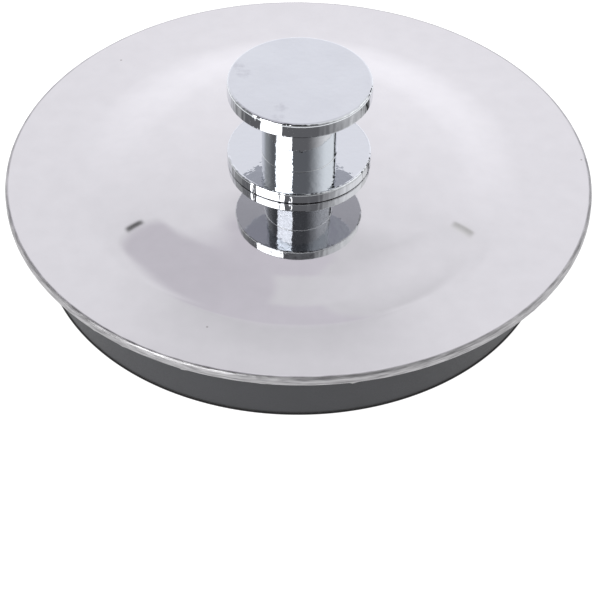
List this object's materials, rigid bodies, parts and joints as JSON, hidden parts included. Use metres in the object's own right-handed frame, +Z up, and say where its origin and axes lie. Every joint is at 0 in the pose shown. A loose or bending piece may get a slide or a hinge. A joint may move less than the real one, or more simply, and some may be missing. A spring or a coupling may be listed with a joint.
{
  "type": "drain stopper",
  "caption": "Round push-in kitchen sink drain stopper: polished steel cover plate with a low domed pad, spool-shaped lifting knob, and a moulded rubber plug below.",
  "frame": {"origin": "on the axis, in the plane that the rubber foot stands on", "axes": "+Z up along the axis, from the plug to the knob"},
  "size_m": [0.085, 0.085, 0.029],
  "materials": {
    "polished_stainless": "mirror polished stainless sheet",
    "plug_rubber": "matt moulded rubber",
    "knob_chrome": "bright chrome plate",
    "seal_rubber": "matt flat rubber",
    "stamped_stainless": "as-stamped stainless sheet",
    "fastener_steel": "plain stainless fastener"
  },
  "bodies": {
    "plug": {"cover_plate": "polished_stainless", "rubber_stopper": "plug_rubber", "retaining_disc": "stamped_stainless"},
    "knob": {"knob": "knob_chrome", "knob_seal": "seal_rubber", "screw": "fastener_steel", "spring_washer": "fastener_steel", "plain_washer": "fastener_steel"}
  },
  "joints": [
    {"name": "knob_turn", "type": "hinge", "parent": "plug", "child": "knob", "pos_m": [0, 0, 0.0151], "axis": [0, 0, 1], "continuous": true}
  ]
}
